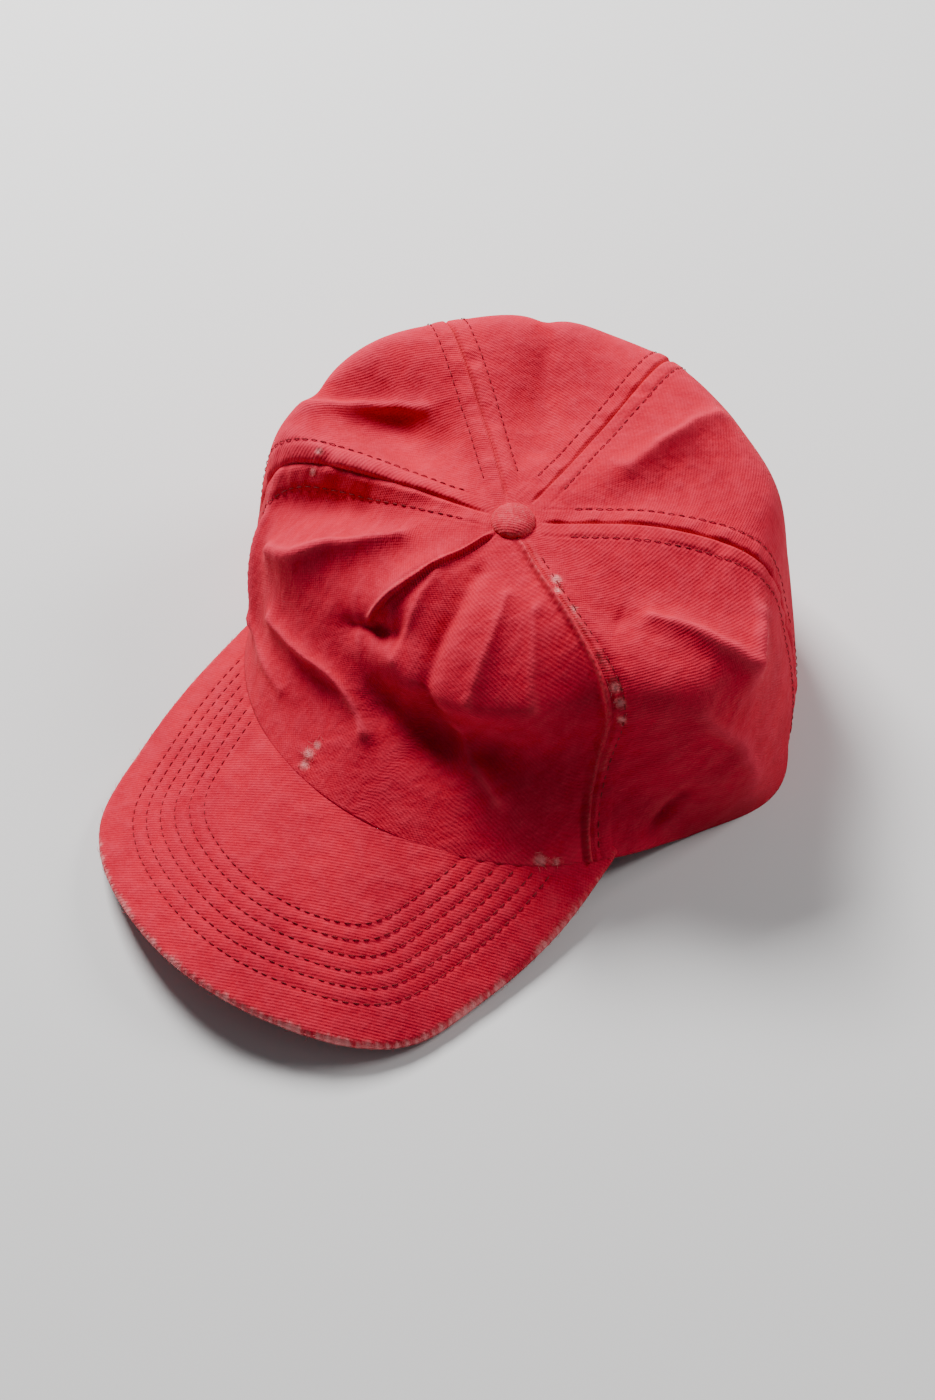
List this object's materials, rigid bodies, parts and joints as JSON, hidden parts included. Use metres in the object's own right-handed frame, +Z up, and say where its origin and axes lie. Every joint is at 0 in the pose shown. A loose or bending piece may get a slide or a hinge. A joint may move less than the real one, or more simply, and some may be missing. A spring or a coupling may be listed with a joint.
{
  "type": "baseball cap",
  "caption": "Soft unstructured cap: sewn cloth crown, curved stiffened brim, covered top button, sweatband, and a back strap held by a cam buckle.",
  "frame": {"origin": "centre of the whole cap's box, on the surface the cap stands on", "axes": "+Z up through the top button, the brim points to -Y, +X is the wearer's left"},
  "size_m": [0.1816, 0.2604, 0.0838],
  "materials": {
    "red_twill": "washed cotton twill, faded",
    "binding_tape": "plain woven cotton tape",
    "sweatband_twill": "washed cotton twill, folded double",
    "dark_red_thread": "spun polyester thread",
    "antique_brass": "aged, tumbled",
    "button_metal": "stamped sheet",
    "rivet_metal": "turned",
    "brim_plastic": "moulded polyethylene sheet",
    "label_satin": "blank satin tape"
  },
  "bodies": {
    "crown": {"arch_binding": "binding_tape", "brim_board": "brim_plastic", "brim_top_cover": "red_twill", "brim_topstitching": "dark_red_thread", "brim_under_cover": "red_twill", "buckle_frame": "antique_brass", "buckle_pin": "antique_brass", "buckle_tab": "red_twill", "button_cover": "red_twill", "button_rivet": "rivet_metal", "button_shell": "button_metal", "button_washer": "rivet_metal", "care_label": "label_satin", "front_panel": "red_twill", "left_back_panel": "red_twill", "left_side_panel": "red_twill", "right_back_panel": "red_twill", "right_side_panel": "red_twill", "rim_tape": "binding_tape", "seam_tape_back": "binding_tape", "seam_tape_front_left": "binding_tape", "seam_tape_front_right": "binding_tape", "seam_tape_side_left": "binding_tape", "seam_tape_side_right": "binding_tape", "sweatband": "sweatband_twill"},
    "strap": {"adjusting_strap": "red_twill"},
    "lever": {"buckle_lever": "antique_brass"}
  },
  "joints": [
    {"name": "strap_adjust", "type": "hinge", "parent": "crown", "child": "strap", "pos_m": [0, 0.0418, 0.015], "axis": [0, 0, 1], "range_deg": [-14, 10]},
    {"name": "lever_swing", "type": "hinge", "parent": "crown", "child": "lever", "pos_m": [0.01475, 0.12825, 0.015], "axis": [0, 0, 1], "range_deg": [0, 105]}
  ]
}
